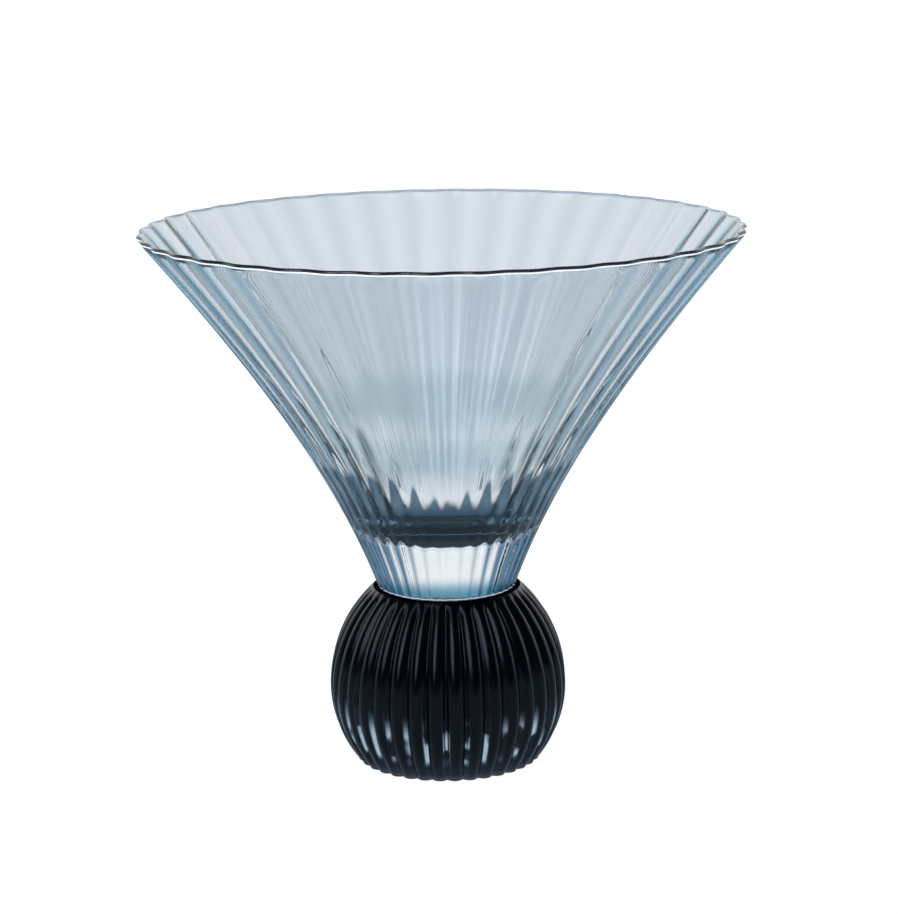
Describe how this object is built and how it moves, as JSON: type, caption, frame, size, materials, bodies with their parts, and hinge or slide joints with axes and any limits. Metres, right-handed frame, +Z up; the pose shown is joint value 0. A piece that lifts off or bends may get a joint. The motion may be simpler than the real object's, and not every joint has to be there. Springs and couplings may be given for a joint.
{
  "type": "martini glass",
  "caption": "Flared martini glass: a ribbed pale glass bowl with a thick clear bottom, bonded to a solid dark ribbed glass ball that serves as stem and foot.",
  "frame": {"origin": "middle of the flat underside of the ball foot, on the surface the glass stands on", "axes": "+Z up along the glass's axis of symmetry; a rib crest of the bowl lies on +X and on +Y"},
  "size_m": [0.118, 0.118, 0.107],
  "materials": {
    "bowl_glass": "gloss, pale blue-grey tint, rib-moulded",
    "ball_glass": "gloss, very dark navy, solid, rib-moulded",
    "clear_bond": "clear cured adhesive"
  },
  "bodies": {
    "root": {"bowl": "bowl_glass", "ball_foot": "ball_glass", "bond_layer": "clear_bond"}
  },
  "joints": []
}
